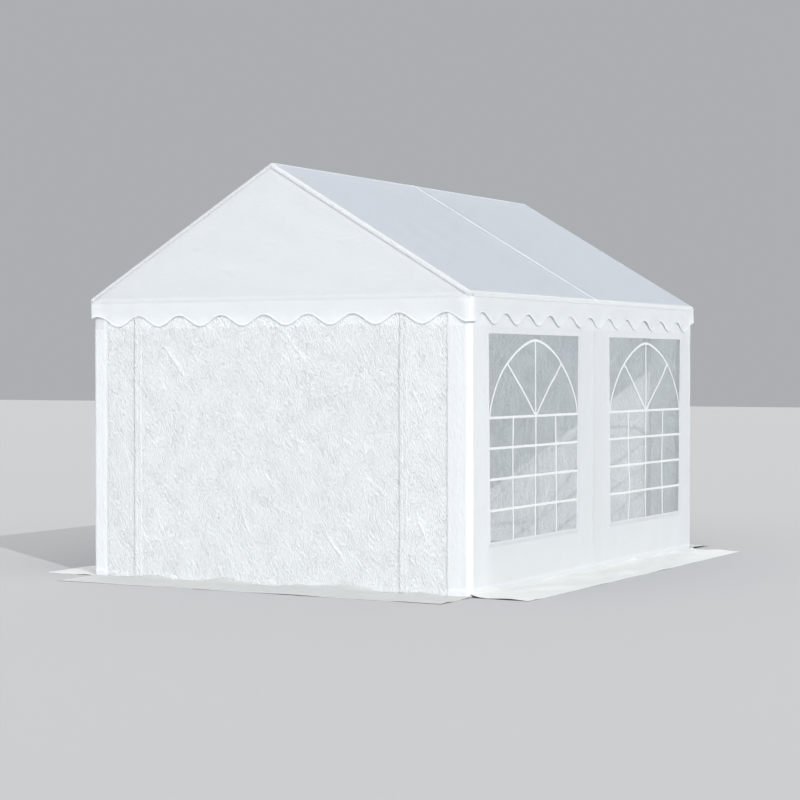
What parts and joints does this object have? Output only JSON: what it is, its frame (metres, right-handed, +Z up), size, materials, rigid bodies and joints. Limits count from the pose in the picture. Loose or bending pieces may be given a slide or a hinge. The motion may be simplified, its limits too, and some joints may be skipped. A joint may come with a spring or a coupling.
{
  "type": "marquee tent",
  "caption": "Gabled marquee tent with a steel tube frame, white tarpaulin roof and walls, scalloped valance, barred window panels, door flaps and ground skirts.",
  "frame": {"origin": "the middle of the floor, on the ground", "axes": "+X across the gable to the right side, +Y along the ridge from the front gable to the back, +Z up"},
  "size_m": [3.84, 4.84, 2.863],
  "materials": {
    "wall_tarpaulin": "white woven polyethylene tarpaulin, satin",
    "roof_tarpaulin": "white woven polyethylene tarpaulin, satin, double sheet",
    "window_film": "clear soft film",
    "window_print": "white bars printed on the film",
    "zip": "grey coil zip on white tape",
    "frame_tube": "white powder coat",
    "frame_fitting": "white powder coat"
  },
  "bodies": {
    "root": {"post_front_left": "frame_tube", "rafter_front_left": "frame_tube", "eave_connector_front_left": "frame_fitting", "post_front_right": "frame_tube", "rafter_front_right": "frame_tube", "eave_connector_front_right": "frame_fitting", "ridge_connector_front": "frame_fitting", "post_mid_left": "frame_tube", "rafter_mid_left": "frame_tube", "eave_connector_mid_left": "frame_fitting", "post_mid_right": "frame_tube", "rafter_mid_right": "frame_tube", "eave_connector_mid_right": "frame_fitting", "ridge_connector_mid": "frame_fitting", "post_back_left": "frame_tube", "rafter_back_left": "frame_tube", "eave_connector_back_left": "frame_fitting", "post_back_right": "frame_tube", "rafter_back_right": "frame_tube", "eave_connector_back_right": "frame_fitting", "ridge_connector_back": "frame_fitting", "eave_rail_left_front": "frame_tube", "eave_rail_right_front": "frame_tube", "ridge_rail_front": "frame_tube", "gable_bar_front": "frame_tube", "eave_rail_left_back": "frame_tube", "eave_rail_right_back": "frame_tube", "ridge_rail_back": "frame_tube", "gable_bar_back": "frame_tube", "gable_panel_front": "wall_tarpaulin", "gable_wall_front": "wall_tarpaulin", "door_flap_front": "wall_tarpaulin", "wall_left_front": "wall_tarpaulin", "window_left_front": "window_film", "wall_right_front": "wall_tarpaulin", "window_right_front": "window_film", "gable_panel_back": "wall_tarpaulin", "gable_wall_back": "wall_tarpaulin", "door_flap_back": "wall_tarpaulin", "wall_left_back": "wall_tarpaulin", "window_left_back": "window_film", "wall_right_back": "wall_tarpaulin", "window_right_back": "window_film", "roof_slope_left": "roof_tarpaulin", "roof_slope_right": "roof_tarpaulin", "valance_left": "wall_tarpaulin", "skirt_left": "wall_tarpaulin", "valance_right": "wall_tarpaulin", "skirt_right": "wall_tarpaulin", "valance_front": "wall_tarpaulin", "skirt_front": "wall_tarpaulin", "valance_back": "wall_tarpaulin", "skirt_back": "wall_tarpaulin"}
  },
  "joints": []
}
